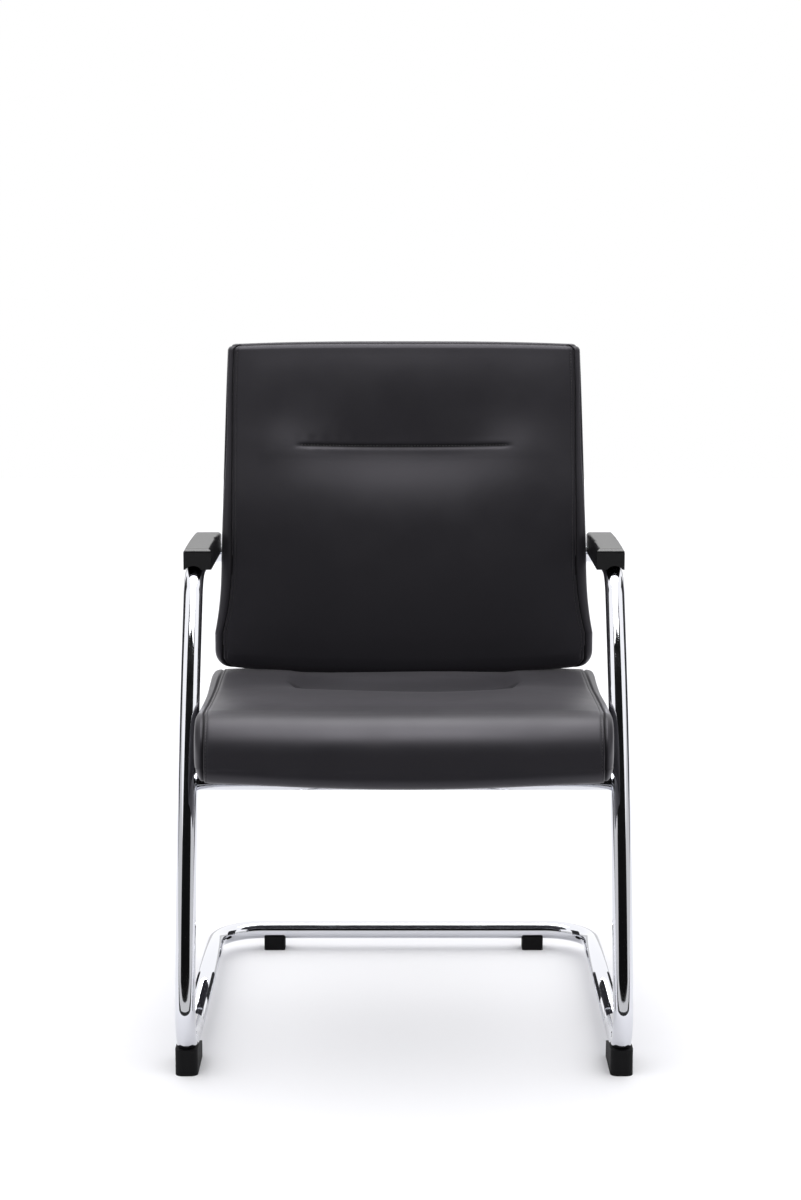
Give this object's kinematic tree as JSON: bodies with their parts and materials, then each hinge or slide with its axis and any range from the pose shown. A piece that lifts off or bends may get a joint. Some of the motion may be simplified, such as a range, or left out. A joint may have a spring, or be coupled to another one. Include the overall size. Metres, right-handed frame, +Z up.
{
  "type": "cantilever conference chair",
  "caption": "Cantilever conference chair: chromed tube frame with arms, thick black leather seat and sewn backrest, black arm pads and feet",
  "frame": {"origin": "middle of the bounding box, on the floor under the feet", "axes": "the chair faces -Y, its right side is -X as the sitter sees it, and +Z is up"},
  "size_m": [0.566, 0.6234, 0.884],
  "materials": {
    "chrome_tube": "polished chrome plate",
    "black_leather": "satin, fine grain",
    "arm_pad_plastic": "fine texture",
    "foot_plastic": "fine texture",
    "rear_panel_plastic": "fine grain",
    "plywood": "raw",
    "foam": "raw",
    "under_cloth": "black non-woven",
    "black_steel": "satin black",
    "zinc_steel": "zinc plated"
  },
  "bodies": {
    "root": {"side_bow_left": "chrome_tube", "side_bow_right": "chrome_tube", "rear_floor_bow": "chrome_tube", "seat_cross_tube": "chrome_tube", "seat_cover_top": "black_leather", "seat_cover_left": "black_leather", "seat_cover_right": "black_leather", "back_cover_front": "black_leather", "back_cover_left": "black_leather", "back_cover_right": "black_leather", "arm_pad_left": "arm_pad_plastic", "arm_pad_right": "arm_pad_plastic", "toe_foot_left": "foot_plastic", "toe_foot_right": "foot_plastic", "rear_foot_left": "foot_plastic", "rear_foot_right": "foot_plastic", "rail_plug_left": "foot_plastic", "rail_plug_right": "foot_plastic", "back_rear_panel": "rear_panel_plastic", "seat_board": "plywood", "back_board": "plywood", "seat_foam": "foam", "back_foam": "foam", "seat_under_cover": "under_cloth", "seat_plate_left": "black_steel", "seat_plate_right": "black_steel", "angle_iron_left": "black_steel", "angle_iron_right": "black_steel", "runner_spigots": "zinc_steel", "arm_pad_screws": "zinc_steel", "seat_t_nuts": "zinc_steel", "seat_bolts": "zinc_steel", "seat_washers": "zinc_steel", "back_t_nuts": "zinc_steel", "angle_iron_bolts": "zinc_steel", "angle_iron_washers": "zinc_steel", "rail_bolts": "zinc_steel", "rail_saddle_washers": "zinc_steel", "rail_spacers": "zinc_steel"}
  },
  "joints": []
}
